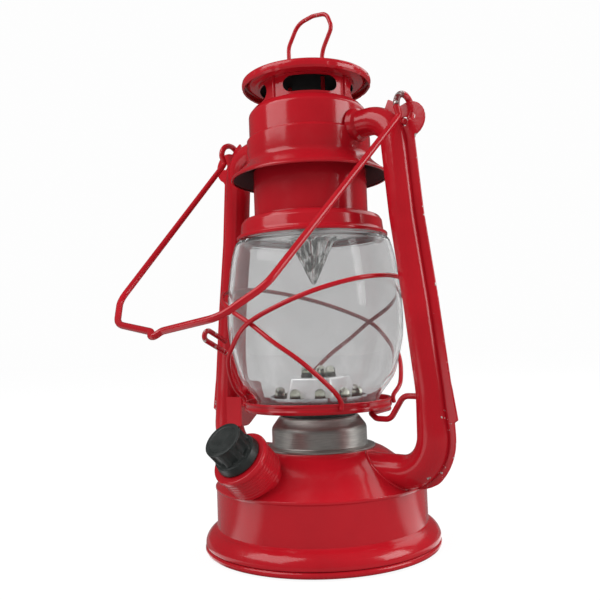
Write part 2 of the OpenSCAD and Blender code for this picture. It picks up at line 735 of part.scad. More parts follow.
// Route of a side tube, from the hood round to the dome, as distance from the axis and height
elbow_z = skirt_z + 21;
foot_z = shoulder_h + 8.2;
function tube_route() =
  let (rise = elbow_z - foot_z)
  bent([[hood_r - 6, elbow_z], [tube_x - 15.4, elbow_z], [tube_x - 11.4, foot_z + rise * 0.71],
    [tube_x - 6, foot_z + rise * 0.465], [tube_x - 1.6, foot_z + rise * 0.225], [tube_x, foot_z],
    [seat_r - 4, foot_z]], [14, 90, 90, 60, 17], 6);
tube_t = 0.8;

// A hollow pipe along a path
module pipe(path, r, t, s, n0) {
  m = len(path);
  inner = m * s;
  far = (m - 1) * s;
  mouth = [for (k = [0:s - 1]) let (n = (k + 1) % s)
    each [[k, n, inner + n], [k, inner + n, inner + k],
      [far + k, inner + far + n, far + n], [far + k, inner + far + k, inner + far + n]]];
  polyhedron(concat(rings(path, r, s, n0), rings(path, r - t, s, n0)),
    concat(skin(m, s), [for (f = skin(m, s, inner)) flip(f)], mouth), convexity = 10);
}

// The ear on the tube's elbow has a hole for the bail and a spare hole beside it
ear_x = tube_x - 8.6;
ear_z = elbow_z - 4.4;
ear_r = 8.2;
ear_shift = [2.6, 0.4];
ear_hole_r = bail_d / 2 + 0.5;
spare_hole = [4.1, 1.6];
spare_hole_r = 1.7;
pivot_z = plate_z + 7.2;
lever_hole_r = lever_d / 2 + 0.15;

// The right tube with its seam flange, the ear for the bail and the spur of the seam
module side_tube() {
  route = tube_route();
  spur_z = plate_z - 3.6;
  cut_x = tube_x - 22;
  color(red) difference() {
    union() {
      pipe([for (p = route) [p.x, 0, p.y]], tube_r, tube_t, 20, [0, 1, 0]);
      translate([0, flange_t / 2, 0]) rotate([90, 0, 0]) linear_extrude(flange_t) difference() {
        union() {
          polygon(concat(beside(route, tube_r - tube_t / 2), flip(beside(route, flange_w))));
          translate([ear_x, ear_z] + ear_shift) circle(r = ear_r);
          polygon([[tube_x + tube_r - tube_t / 2, spur_z], [tube_x + flange_w + 1.2, spur_z],
            [tube_x + flange_w - 1.4, spur_z + 16], [tube_x + tube_r - tube_t / 2, spur_z + 16]]);
        }
        translate([-big, foot_z]) square([big + cut_x, big]);
        translate([-big, -big]) square([big + wall_r + 1.4, big + foot_z]);
      }
    }
    translate([ear_x, flange_t, ear_z]) rotate([90, 0, 0]) {
      cylinder(r = ear_hole_r, h = 2 * flange_t);
      translate(spare_hole) cylinder(r = spare_hole_r, h = 2 * flange_t);
    }
    cylinder(r = hood_r + seam, h = big);
    base_solid(seam);
  }
}
module right_side_tube() {
  color(red) difference() {
    side_tube();
    translate([tube_x - 2 * tube_r, 0, pivot_z]) rotate([0, 90, 0])
      cylinder(r = lever_hole_r, h = 2 * tube_r);
  }
}
module left_side_tube() { rotate(180) side_tube(); }

// Crimped rings where the tubes enter the hood
module tube_collars() {
  crimp_w = 2.6;
  crimp_t = 1.1;
  for (s = [0, 180]) rotate(s) color(red) difference() {
    translate([hood_r - 3, 0, elbow_z]) rotate([0, 90, 0])
      cylinder(r = tube_r + seam + crimp_t, h = 3 + crimp_w);
    translate([0, 0, elbow_z]) rotate([0, 90, 0]) cylinder(r = tube_r + seam, h = big);
    cylinder(r = hood_r + seam, h = big);
  }
}

// Bracket on the left tube that carries the lever's left end
lever_x = tube_x - 13.4;
cheek_x = lever_x - 3.4;
cheek_t = 1;
module lever_bracket() {
  low = pivot_z - 18;
  high = pivot_z + 3.6;
  front = 6;
  back = 8;
  web_top = pivot_z - 2.6;
  web_x = tube_x - tube_r + 0.8;
  color(red) difference() {
    union() {
      translate([-cheek_x - cheek_t / 2, 0, 0]) rotate([90, 0, 90]) linear_extrude(cheek_t)
        polygon(bent([[-front, low], [back, low], [back, high], [-front, high]], [6, 3]));
      translate([-web_x, -front, low]) cube([web_x - cheek_x, cheek_t, web_top - low]);
    }
    translate([-tube_x, 0, pivot_z]) rotate([0, 90, 0]) cylinder(r = lever_hole_r, h = tube_x);
  }
}

// The lift lever: one bent wire with a crank under the plate and a thumb loop at the left
bar_z = plate_z - gap - lever_d / 2;
bar_y = 28;
module lift_lever() {
  crank_x = plate_r + 4;
  step_x = crank_x + 5.6;
  dip_x = plate_r + 6.4;
  dip_step_x = dip_x + 7.6;
  dip_z = bar_z - 2;
  bar_x = 24;
  turn_x = 31;
  stub_x = tube_x - tube_r + 2;
  path = [[stub_x, 0, pivot_z], [dip_step_x, 0, pivot_z], [dip_x, 0, dip_z], [turn_x + 4, 0, dip_z],
    [turn_x - 2, 4, bar_z], [bar_x, bar_y, bar_z], [-bar_x, bar_y, bar_z], [-turn_x, 0, bar_z],
    [-crank_x, 0, bar_z], [-step_x, 0, pivot_z], [-lever_x, 0, pivot_z],
    [-lever_x, -10, pivot_z + 20.5], [-lever_x, -28, pivot_z + 29.5], [-lever_x, -25.5, pivot_z + 34.4],
    [-lever_x, -12, pivot_z + 27.6]];
  color(red) wire(bent(path, [5, 5, 5, 4, 4, 4, 5, 3, 2.4, 3, 6, 2.6, 2.6], 5), lever_d, [0, 0, 1], 10);
}

// The bail, drawn flat with its arms along -Y, then tipped to its resting angle about its pivot
bail_z = ear_z + eye_r;
module bail_handle() {
  corner_x = ear_x - 11.2;
  notch = 4;
  bar_x = ear_x - 24.8;
  bar_s = bail_reach - 10;
  arm = [[ear_x, -eye_r, 0], [corner_x, -bail_reach + 26, 0], [bar_x, -bar_s, 0],
    [3.5, -bail_reach + notch, 0], [0, -bail_reach, 0]];
  left = [for (p = flip(arm)) if (p.x > 0) [-p.x, p.y, 0]];
  eye_turn = 322;
  steps = 24;
  eye = [for (i = [1:steps]) let (a = eye_turn * i / steps) [ear_x, -eye_r * cos(a), eye_r * sin(a)]];
  eye_left = [for (p = eye) [-p.x, p.y, p.z]];
  join = 2;
  arms = bent(concat([eye[join]], arm, left, [eye_left[join]]), [2, 16, 16, 3, 2.4, 3, 16, 16, 2], 5);
  path = concat([for (i = [steps - 1:-1:join + 1]) eye[i]], arms,
    [for (i = [join + 1:steps - 1]) eye_left[i]]);
  color(red) translate([0, 0, bail_z]) rotate([bail_angle, 0, 0]) wire(path, bail_d, [0, 1, 0], 10);
}

fount_shell();
bottom_pan();
battery_tray();
battery_cells();
contact_springs();
contact_plates();
tray_screws();
door_hinge_pin();
battery_door();
spout_collar();
dimmer_pot();
pot_nut();
dimmer_shaft();
dimmer_knob();
burner_cup();
led_holder();
led_board();
led_deck();
leds();
deck_reflector();
lead_wires();
globe_plate();
globe();
guard_wire_left();
guard_wire_right();
globe_collar();
chimney_tube();
cone_reflector();
ring_crossbar();
lift_ring();
hood_shell();
vent_neck();
top_cap();
left_side_tube();
right_side_tube();
tube_collars();
lever_bracket();
lift_lever();
bail_handle();
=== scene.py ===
import bpy, bmesh, json, math
from math import sin, cos, pi, radians
from mathutils import Vector, Matrix


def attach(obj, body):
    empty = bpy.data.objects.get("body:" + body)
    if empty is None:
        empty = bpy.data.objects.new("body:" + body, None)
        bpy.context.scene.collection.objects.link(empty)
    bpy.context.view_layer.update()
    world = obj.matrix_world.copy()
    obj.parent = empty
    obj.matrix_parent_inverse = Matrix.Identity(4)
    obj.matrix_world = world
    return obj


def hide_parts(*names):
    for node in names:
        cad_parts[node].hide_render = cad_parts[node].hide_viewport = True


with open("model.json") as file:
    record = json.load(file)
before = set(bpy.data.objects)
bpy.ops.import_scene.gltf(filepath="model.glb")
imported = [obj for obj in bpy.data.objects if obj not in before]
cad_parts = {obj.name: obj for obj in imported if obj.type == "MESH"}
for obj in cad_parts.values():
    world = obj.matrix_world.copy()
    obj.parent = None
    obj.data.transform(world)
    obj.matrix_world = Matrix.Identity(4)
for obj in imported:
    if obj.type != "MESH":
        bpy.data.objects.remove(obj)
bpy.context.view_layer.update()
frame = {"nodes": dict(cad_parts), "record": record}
nodes = frame["nodes"]
mm = 0.001
print("frame loaded:", len(nodes), "nodes")


class Signal:
    def __init__(self, tree, socket=None):
        self.tree, self.socket = tree, socket

    def make(self, kind, settings=None, inputs=None, out=0):
        node = self.tree.nodes.new(kind)
        for key, value in (settings or {}).items():
            setattr(node, key, value)
        for key, value in (inputs or {}).items():
            if isinstance(value, Signal):
                self.tree.links.new(value.socket, node.inputs[key])
            else:
                node.inputs[key].default_value = value
        return Signal(self.tree, node.outputs[out] if len(node.outputs) else None)

    def math(self, operation, a, b=0.0):
        return self.make("ShaderNodeMath", {"operation": operation}, {0: a, 1: b})

    def vector(self, operation, a, b, out=0):
        return self.make("ShaderNodeVectorMath", {"operation": operation}, {0: a, 1: b}, out)

    def __add__(self, other):
        return self.math("ADD", self, other)

    def __radd__(self, other):
        return self.math("ADD", other, self)

    def __sub__(self, other):
        return self.math("SUBTRACT", self, other)

    def __rsub__(self, other):
        return self.math("SUBTRACT", other, self)

    def __mul__(self, other):
        return self.math("MULTIPLY", self, other)

    def __rmul__(self, other):
        return self.math("MULTIPLY", other, self)

    def step(self, low, high):  # 0 below low, 1 above high
        return self.make("ShaderNodeMapRange", {"interpolation_type": "SMOOTHSTEP"},
                         {"Value": self, "From Min": low, "From Max": high})

    def blend(self, a, b):  # colour a where this is 0, b where it is 1
        return self.make("ShaderNodeMix", {"data_type": "RGBA"}, {0: self, 6: a, 7: b}, out=2)

    def bump(self, strength, distance):
        return self.make("ShaderNodeBump", {}, {"Height": self, "Strength": strength, "Distance": distance})


def newMaterial(name):
    material = bpy.data.materials.new(name)
    material.use_nodes = True
    material.node_tree.nodes.clear()
    start = Signal(material.node_tree)
    return material, start, start.make("ShaderNodeTexCoord", out=3)


def noise(start, place, scale, detail=3.0, roughness=0.5):
    return start.make("ShaderNodeTexNoise", {}, {"Vector": place, "Scale": scale, "Detail": detail,
                                                 "Roughness": roughness})


def near(start, place, centre, low, high):  # 1 close to a point, 0 further off
    return 1 - start.vector("DISTANCE", place, centre, out=1).step(low, high)


def close(start, material, shader):
    start.make("ShaderNodeOutputMaterial", {}, {"Surface": shader})
    return material


def principled(start, **values):
    names = {"color": "Base Color", "rough": "Roughness", "metal": "Metallic", "normal": "Normal",
             "coat": "Coat Weight", "coatRough": "Coat Roughness", "ior": "IOR",
             "through": "Transmission Weight", "shine": "Specular IOR Level"}
    return start.make("ShaderNodeBsdfPrincipled", {}, {names[key]: value for key, value in values.items()})


def outwards(start, place, operation, out=0):  # way or distance from the lantern's axis
    spoke = start.vector("MULTIPLY", place, (1, 1, 0))
    return start.make("ShaderNodeVectorMath", {"operation": operation}, {0: spoke}, out)


def turnedFrom(start, way):  # 1 on faces that look away from a direction
    facing = start.vector("DOT_PRODUCT", start.make("ShaderNodeTexCoord", out=1), way, out=1)
    return 1 - facing.step(-0.5, -0.2)


def hollow(start, place):  # 1 on faces that look in towards the axis; the mask for painted shade on inner faces
    return turnedFrom(start, outwards(start, place, "NORMALIZE"))


def capFloor(start, place):  # 1 on the underside of the cap over the vent; the mask for painted shade there
    overVent = 1 - outwards(start, place, "LENGTH", out=1).step(0.0236, 0.0246)
    return turnedFrom(start, (0, 0, 1)) * overVent


# dark and the hood's dark red are painted shade colours for faces where no light gets in
paint = {"fresh": (0.48, 0.0085, 0.017, 1), "deep": (0.4, 0.0065, 0.0135, 1), "metal": (0.6, 0.58, 0.55, 1),
         "under": (0.13, 0.01, 0.012, 1), "dark": (0.006, 0.002, 0.002, 1),
         "paintedHoodShade": (0.05, 0.007, 0.009, 1), "rough": 0.17, "peel": 420, "drift": 22,
         "chips": 430, "shine": 0.28, "coat": 0.22, "coatRough": 0.08}


def redPaint(name, worn=(), shade=None, gloom=paint["dark"]):
    # worn: places rubbed bare, as (centre, inner reach, outer reach, amount); shade: a mask of where no
    # light gets in, painted dark in the gloom colour as painted shade
    material, start, place = newMaterial(name)
    drift = noise(start, place, paint["drift"])
    peel = noise(start, place, paint["peel"], 2.0)
    fleck = noise(start, place, paint["chips"], 5.0, 0.6)
    scuff = noise(start, place, 60, 6.0, 0.7)
    edge = start.make("ShaderNodeAttribute", {"attribute_name": "rub"}, out=2)
    bare = (fleck + edge.step(0.8, 1.0) * 0.17).step(0.76, 0.775)
    for centre, inner, outer, amount in worn:
        zone = near(start, place, centre, inner, outer)
        bare = start.math("MAXIMUM", bare, (fleck + zone * amount).step(0.745, 0.765))
    core = (fleck + bare * 0.2).step(0.7, 0.76) * bare
    colour = drift.step(0.35, 0.68).blend(paint["deep"], paint["fresh"])
    colour = bare.blend(colour, paint["under"])
    colour = core.blend(colour, paint["metal"])
    rough = paint["rough"] + scuff.step(0.5, 0.8) * 0.14 + bare * 0.2
    coat = paint["coat"]
    # painted shade: faces in the shade mask are darkened to the gloom colour, made rougher and lose their
    # coat
    if shade:
        dark = shade(start, place)
        colour = dark.blend(colour, gloom)
        rough = rough + dark * 0.5
        coat = (1 - dark) * coat
    height = peel * 0.5 + drift * 1.4 - bare * 0.8
    shader = principled(start, color=colour, rough=rough, metal=core * 0.85, coat=coat,
                        coatRough=paint["coatRough"], shine=paint["shine"],
                        normal=height.bump(0.14, 0.0006))
    return close(start, material, shader)


steelLook = {"light": (0.5, 0.49, 0.46, 1), "dark": (0.32, 0.31, 0.295, 1), "rough": 0.34}


def satinSteel(name):
    material, start, place = newMaterial(name)
    grain = start.make("ShaderNodeMapping", {}, {"Vector": place, "Scale": (160, 160, 2600)})
    brush = noise(start, grain, 1.0, 4.0)
    cloud = noise(start, place, 70, 3.0)
    colour = (brush * 0.6 + cloud * 0.4).step(0.3, 0.7).blend(steelLook["dark"], steelLook["light"])
    shader = principled(start, color=colour, rough=steelLook["rough"] + brush * 0.12, metal=0.85,
                        normal=brush.bump(0.08, 0.0004))
    return close(start, material, shader)


def brightMetal(name, tint=(0.8, 0.81, 0.83, 1), rough=0.07, ripples=0.12, metal=1.0):
    material, start, place = newMaterial(name)
    smear = noise(start, place, 90, 3.0)
    ripple = noise(start, place, 240, 2.0)
    colour = smear.step(0.3, 0.75).blend(tint, tuple(0.84 * part for part in tint[:3]) + (1,))
    shader = principled(start, color=colour, rough=rough + smear * 0.08, metal=metal,
                        normal=ripple.bump(ripples, 0.0005))
    return close(start, material, shader)


# the cone's dark and light colours are painted reflections, streaked up the cone
coneLook = {"light": (0.72, 0.73, 0.72, 1), "dark": (0.07, 0.075, 0.065, 1), "rough": 0.09}


def paintedReflectionMirror(name):  # painted reflections: dark and light streaks run up the cone
    material, start, place = newMaterial(name)
    grain = start.make("ShaderNodeMapping", {}, {"Vector": place, "Scale": (420, 420, 26)})
    streak = noise(start, grain, 1.0, 3.0, 0.6)
    dish = start.vector("DOT_PRODUCT", place, (0, 0, 1), out=1).step(0.149, 0.1515)
    colour = (streak + dish * 0.28).step(0.4, 0.62).blend(coneLook["dark"], coneLook["light"])
    shader = principled(start, color=colour, rough=coneLook["rough"], metal=1 - dish * 0.7,
                        normal=streak.bump(0.2, 0.0005))
    return close(start, material, shader)


def mouldedPlastic(name, light, dark, rough, grainScale=1400, depth=0.25):
    material, start, place = newMaterial(name)
    grain = noise(start, place, grainScale, 2.0)
    scuff = noise(start, place, 130, 5.0, 0.65)
    colour = scuff.step(0.35, 0.75).blend(dark, light)
    shader = principled(start, color=colour, rough=rough + scuff.step(0.45, 0.8) * 0.15,
                        normal=grain.bump(depth, 0.0003), shine=0.4)
    return close(start, material, shader)


glass = {"clean": (0.7, 0.7, 0.7, 1), "smudged": (0.655, 0.655, 0.655, 1), "shadow": (0.93, 0.94, 0.94, 1),
         "ior": 1.09, "through": 0.94, "coat": 0.3}


def clearGlobe(name):
    material, start, place = newMaterial(name)
    wave = noise(start, place, 16, 1.0)
    smudge = noise(start, place, 45, 4.0)
    tint = smudge.step(0.4, 0.8).blend(glass["clean"], glass["smudged"])
    body = principled(start, color=tint, rough=smudge.step(0.5, 0.9) * 0.05, through=glass["through"],
                      ior=glass["ior"], normal=wave.bump(0.05, 0.002), coat=glass["coat"], coatRough=0.08)
    passing = start.make("ShaderNodeBsdfTransparent", {}, {"Color": glass["shadow"]})
    path = start.make("ShaderNodeLightPath", out=1)  # shadow rays pass, so the light deck inside stays lit
    return close(start, material, start.make("ShaderNodeMixShader", {}, {0: path, 1: body, 2: passing}))


ledLook = {"lens": (0.86, 0.88, 0.76, 1), "foot": (0.03, 0.036, 0.02, 1), "ring": 0.071, "block": 0.081,
           "low": 0.0014, "high": 0.0028}


def ledEpoxy(name):  # clear lenses on dark feet, on the deck and on the block
    material, start, place = newMaterial(name)
    height = start.vector("DOT_PRODUCT", place, (0, 0, 1), out=1)
    onDeck, onBlock = (1 - height.step(ledLook[stand] + ledLook["low"], ledLook[stand] + ledLook["high"])
                       for stand in ("ring", "block"))
    raised = height.step(ledLook["block"] - 0.0005, ledLook["block"])
    foot = start.math("MAXIMUM", onDeck, raised * onBlock)
    colour = foot.blend(ledLook["lens"], ledLook["foot"])
    return close(start, material, principled(start, color=colour, rough=0.03, through=1.0, ior=1.5))


tubeWear = [((0.077, 0, 0.064), 0.002, 0.013, 0.14), ((-0.077, 0, 0.064), 0.002, 0.013, 0.14),
            ((0.07, 0, 0.034), 0.006, 0.015, 0.125)]
bailWear = [((0.0578, -0.0052, 0.2069), 0.0036, 0.0062, 0.5),
            ((-0.0578, 0.001, 0.2033), 0.002, 0.0075, 0.16), ((0, -0.101, 0.102), 0.003, 0.01, 0.12)]
ringWear = [((0.004, 0, 0.263), 0.004, 0.014, 0.12), ((0.015, 0, 0.25), 0.002, 0.01, 0.1)]
looks = {
    "red": redPaint("glossRed"),
    # the vent, hood and cap paints carry painted shade on their inner faces
    "redVent": redPaint("glossRedVentPaintedShade", shade=hollow),
    "redHood": redPaint("glossRedHoodPaintedShade", shade=hollow, gloom=paint["paintedHoodShade"]),
    "redCap": redPaint("glossRedCapPaintedShade", shade=capFloor),
    "redTube": redPaint("glossRedTube", tubeWear),
    "redBail": redPaint("glossRedBail", bailWear),
    "redRing": redPaint("glossRedRing", ringWear),
    "redLever": redPaint("glossRedLever", [((-0.053, -0.02, 0.1), 0.004, 0.02, 0.15)]),
    "steel": satinSteel("satinCup"),
    "chrome": brightMetal("mirrorDeck"),
    "cone": paintedReflectionMirror("paintedReflectionCone"),
    "block": brightMetal("mirrorBlock", (0.95, 0.96, 0.96, 1), 0.13, metal=0.6),
    "screw": brightMetal("screwZinc", (0.62, 0.62, 0.6, 1), 0.22),
    "brass": brightMetal("contactBrass", (0.7, 0.52, 0.24, 1), 0.2),
    "pot": brightMetal("potCase", (0.45, 0.46, 0.48, 1), 0.3),
    "black": mouldedPlastic("mouldedBlack", (0.028, 0.033, 0.03, 1), (0.018, 0.021, 0.02, 1), 0.42),
    "knob": mouldedPlastic("knobBlack", (0.024, 0.029, 0.0275, 1), (0.013, 0.0165, 0.0155, 1), 0.36),
    "cell": mouldedPlastic("cellSleeve", (0.3, 0.28, 0.22, 1), (0.2, 0.19, 0.16, 1), 0.3),
    "board": mouldedPlastic("boardGreen", (0.02, 0.11, 0.04, 1), (0.012, 0.07, 0.03, 1), 0.35),
    "lead": mouldedPlastic("leadSkin", (0.3, 0.02, 0.02, 1), (0.18, 0.012, 0.012, 1), 0.5),
    "globe": clearGlobe("clearGlobe"),
    "led": ledEpoxy("ledEpoxy"),
}
print("materials:", len(looks))

slotLook = {
    "red_paint": "red", "steel": "steel", "bright_metal": "chrome", "black_plastic": "black",
    "cell_case": "cell", "spring_steel": "screw", "contact_brass": "brass", "screw_steel": "screw",
    "pot_case": "pot", "knob_black": "knob", "board_green": "board", "led_epoxy": "led",
    "lead_skin": "lead", "clear_globe": "globe"}
nodeLook = {"vent_neck": "redVent", "chimney_tube": "redVent"}
for entry in frame["record"]["subparts"]:
    mesh = nodes[entry["node"]].data
    mesh.materials.clear()
    mesh.materials.append(looks[nodeLook.get(entry["node"], slotLook[entry["material_slot"]])])


# making meshes: every shape below is written in millimetres
def addPiece(name, mesh, look, body, slot, *hides):
    mesh.materials.append(looks[look])
    piece = bpy.data.objects.new(name, mesh)
    bpy.context.scene.collection.objects.link(piece)
    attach(piece, body)
    if hides:
        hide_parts(*hides)
    return piece


def newPiece(name, verts, faces, look, body, slot, *hides, sharp=35):
    mesh = bpy.data.meshes.new(name)
    mesh.from_pydata([Vector(spot) * mm for spot in verts], [], faces)
    mesh.validate()
    mesh.shade_smooth()
    mesh.set_sharp_from_angle(angle=radians(sharp))
    return addPiece(name, mesh, look, body, slot, *hides)


def roundEdges(piece, width, angle=50):
    edge = piece.modifiers.new("roundedEdge", "BEVEL")
    edge.width, edge.segments, edge.limit_method, edge.angle_limit = width * mm, 3, "ANGLE", radians(angle)


def bend(points, radii, count=8):  # straight lengths joined by round bends
    points = [Vector(point) for point in points]
    path = [points[0]]
    for before, at, after, radius in zip(points, points[1:], points[2:], radii):
        u, v = (before - at).normalized(), (after - at).normalized()
        half = u.angle(v) / 2
        first, last = at + u * radius / math.tan(half), at + v * radius / math.tan(half)
        middle = at + (u + v).normalized() * radius / sin(half)
        turn = pi - 2 * half
        for i in range(count + 1):
            t = i / count
            swing = (first - middle) * sin((1 - t) * turn) + (last - middle) * sin(t * turn)
            path.append(middle + swing / sin(turn))
    return path + [points[-1]]


def curve(points, count=6):  # a smooth line through points
    points = [Vector(point) for point in points]
    path, final = [], len(points) - 1
    for i in range(final):
        a, b, c, d = points[max(i - 1, 0)], points[i], points[i + 1], points[min(i + 2, final)]
        for t in [k / count for k in range(count)]:
            path.append(0.5 * (2 * b + (c - a) * t + (2 * a - 5 * b + 4 * c - d) * t ** 2
                               + (3 * b - a - 3 * c + d) * t ** 3))
    return path + [points[-1]]


def finer(path, gap):  # the same path with points no further apart than gap
    fine = []
    for a, b in zip(path, path[1:]):
        count = max(1, math.ceil((b - a).length / gap))
        fine += [a.lerp(b, i / count) for i in range(count)]
    return fine + [path[-1]]


def rounds(path, radius, sides, side):  # rings of points round a path; radius is asked by point and by side
    turn, rings = Vector(side), []
    for i, at in enumerate(path):
        ahead = (path[min(i + 1, len(path) - 1)] - path[max(i - 1, 0)]).normalized()
        turn = (turn - ahead * turn.dot(ahead)).normalized()
        across, step = ahead.cross(turn), 2 * pi / sides
        rings.append([at + radius(i, k) * (cos(step * k) * turn + sin(step * k) * across)
                      for k in range(sides)])
    return rings


def joined(rings, caps=False):
    sides, verts, faces = len(rings[0]), [spot for ring in rings for spot in ring], []
    for i in range(len(rings) - 1):
        for k in range(sides):
            n = (k + 1) % sides
            faces.append((i * sides + k, i * sides + n, (i + 1) * sides + n, (i + 1) * sides + k))
    if caps:
        faces += [tuple(reversed(range(sides))), tuple(range(len(verts) - sides, len(verts)))]
    return verts, faces


def wire(name, path, diameter, side, look, body, slot, *hides, sides=14):
    blunt = diameter * 0.18
    start = path[0] + (path[0] - path[1]).normalized() * blunt
    end = path[-1] + (path[-1] - path[-2]).normalized() * blunt
    path = [start, *path, end]
    tips = (0, len(path) - 1)
    rings = rounds(path, lambda i, k: diameter / 2 * (0.72 if i in tips else 1), sides, side)
    return newPiece(name, *joined(rings, caps=True), look, body, slot, *hides, sharp=60)


def lathe(name, profile, look, body, slot, *hides, turns=144, sharp=38, shape=None, where=None):
    # a closed outline of radius and height turned about Z; shape moves its points, where moves the piece
    verts, faces, sides = [], [], len(profile)
    for k in range(turns):
        angle = 2 * pi * k / turns
        for radius, height in profile:
            if shape:
                radius, height = shape(angle, radius, height)
            spot = Vector((radius * cos(angle), radius * sin(angle), height))
            verts.append(where @ spot if where else spot)
        n = (k + 1) % turns
        for i in range(sides):
            j = (i + 1) % sides
            faces.append((k * sides + i, n * sides + i, n * sides + j, k * sides + j))
    return newPiece(name, verts, faces, look, body, slot, *hides, sharp=sharp)


def cutSheet(name, loop, holes, thick, where, look, body, slot, *hides, rubbed=0, edge=0.4):
    # a flat outline with round holes, given a thickness; the first points of the loop are the rubbed edge
    mesh = bmesh.new()
    rub = mesh.verts.layers.float.new("rub")
    rings = [[(x, y) for x, y in loop]]
    for x, y, radius in holes:
        swings = [2 * pi * i / 28 for i in range(28)]
        rings.append([(x + radius * cos(swing), y + radius * sin(swing)) for swing in swings])
    for ring in rings:
        verts = [mesh.verts.new(where @ Vector((x, y, thick / 2)) * mm) for x, y in ring]
        for i, vert in enumerate(verts):
            vert[rub] = 1.0 if ring is rings[0] and i < rubbed else 0.0
            mesh.edges.new((vert, verts[(i + 1) % len(verts)]))
    bmesh.ops.triangle_fill(mesh, use_beauty=True, edges=mesh.edges[:])
    grown = bmesh.ops.extrude_face_region(mesh, geom=mesh.faces[:])["geom"]
    back = where.to_3x3() @ Vector((0, 0, -thick * mm))
    moved = [part for part in grown if isinstance(part, bmesh.types.BMVert)]
    bmesh.ops.translate(mesh, vec=back, verts=moved)
    bmesh.ops.recalc_face_normals(mesh, faces=mesh.faces[:])
    data = bpy.data.meshes.new(name)
    mesh.to_mesh(data)
    mesh.free()
    piece = addPiece(name, data, look, body, slot, *hides)
    roundEdges(piece, edge)
    return piece


def sheetOutline(profile, thick):  # outer line and the same line moved to its left
    inner = []
    for i, (radius, height) in enumerate(profile):
        before, after = profile[max(i - 1, 0)], profile[min(i + 1, len(profile) - 1)]
        ahead = Vector((after[0] - before[0], after[1] - before[1])).normalized()
        inner.append((max(radius - ahead.y * thick, 0.02), height + ahead.x * thick))
    return [*profile, *inner[::-1]]


def round2(points, radii, count=5):
    return [(at.x, at.y) for at in bend([(x, y, 0) for x, y in points], radii, count)]


def smooth2(points, count=5):
    return [(at.x, at.y) for at in curve([(x, y, 0) for x, y in points], count)]


upright = Matrix.Rotation(pi / 2, 4, "X")  # a flat outline stood up to face the front
bothSides = {"right": Matrix.Identity(4), "left": Matrix.Rotation(pi, 4, "Z")}


base = {"outer": 57.5, "rim": 3.05, "wall": 51.4, "foot": 11.2, "shoulder": 30.3, "dome": 46.6,
        "seat": 28.4, "sheet": 0.8, "hole": 17, "brow": (39.9, 39.45),
        "bell": [(0.95, 0.07), (0.93, 0.25), (0.83, 0.45), (0.72, 0.58), (0.57, 0.71), (0.36, 0.83),
                 (0.13, 0.92), (0, 1)]}


def baseOutline():
    outer, rim, wall, foot = base["outer"], base["rim"], base["wall"], base["foot"]
    shoulder, dome, seat = base["shoulder"], base["dome"], base["seat"]
    line = [(outer - 1.4, rim), (outer - 0.5, rim + 0.2)]
    line += smooth2([(wall + (outer - wall) * out, rim + (foot - rim) * up) for out, up in base["bell"]], 4)
    line += round2([(wall, foot + 0.6), (wall, shoulder - 1.4), (wall + 0.5, shoulder - 0.7),
                    (wall + 0.45, shoulder + 0.2), (wall - 0.7, shoulder + 0.9)], [0.5, 0.4, 0.6])
    crown = smooth2([(wall - 0.7, shoulder + 0.9), (wall - 5.6, shoulder + 4.4), base["brow"],
                     (seat + 4.4, dome - 2), (seat + 1, dome - 0.3)], 8)
    return line + crown[1:] + [(seat, dome), (base["hole"], dome)], crown


baseLine, domeLine = baseOutline()
lathe("fountBody", sheetOutline(baseLine, base["sheet"]), "red", "frame", "red_paint", "fount_shell")


def along(line, value, key, other):  # reads a line of points at a value of one coordinate
    for a, b in zip(line, line[1:]):
        low, high = sorted((a[key], b[key]))
        if low <= value <= high and high > low:
            return a[other] + (b[other] - a[other]) * (value - a[key]) / (b[key] - a[key])
    return None


spout = {"tilt": 43, "out": -55.2, "up": 49.0, "lip": 13.5, "lipHeight": 2.6, "body": 12.6, "bore": 3.6,
         "pitch": 1.7, "threads": 6, "threadEnd": 13.2, "ridge": 0.4, "end": 15.0, "stem": 10.4,
         "root": 20, "wall": 1.4, "roof": 3}
spoutLean = Matrix.Rotation(radians(90 - spout["tilt"]), 4, "X")
spoutPlace = Matrix.Translation((0, spout["out"], spout["up"])) @ spoutLean


def spoutFoot(angle, radius, height):  # the neck's lower end follows the dome
    if height > -spout["end"] - 1:
        return radius, height
    for step in range(200):
        depth = -7 - step * 0.1
        at = spoutPlace @ Vector((radius * cos(angle), radius * sin(angle), depth))
        ceiling = along(domeLine, math.hypot(at.x, at.y), 0, 1)
        if at.z < base["shoulder"] + 0.2 or (ceiling and at.z < ceiling - 0.5):
            break
    return radius, depth


def spoutOutline():
    lip, body, bore, ridge, low = (spout[key] for key in ("lip", "body", "bore", "ridge", "lipHeight"))
    line = [(bore, -0.01), (lip - 2.4, 0.0)]
    line += round2([(lip - 2, 0.0), (lip, 0.0), (lip, -low), (body, -low - 0.2)], [0.9, 0.8])
    for i in range(spout["threads"]):
        height, crest = -low - 0.7 - i * spout["pitch"], body + ridge
        line += [(body, height), (crest, height - 0.45), (crest, height - 0.75), (body, height - 1.2)]
    end, root, stem = -spout["end"], -spout["root"], spout["stem"]
    inside = stem - spout["wall"]
    line += round2([(body, -spout["threadEnd"]), (body, end), (stem, end), (stem, end - 0.9)], [1.2, 0.3])
    return line + [(stem, root), (inside, root), (inside, -spout["roof"]), (bore, -1.6)]


lathe("spoutNeck", spoutOutline(), "red", "frame", "red_paint", "spout_collar", turns=96, shape=spoutFoot,
      where=spoutPlace)


knob = {"skirt": 10.7, "grip": 8.8, "top": 13.4, "skirtTop": 4.4, "gap": 0.3, "hollow": 6.6, "shaft": 3.05,
        "hollowTop": 3.6, "shaftTop": 10.2, "ribs": 8, "flute": 3.0, "depth": 1.5,
        "fluteLow": 4.9, "fluteHigh": 12.9, "fade": 0.7}


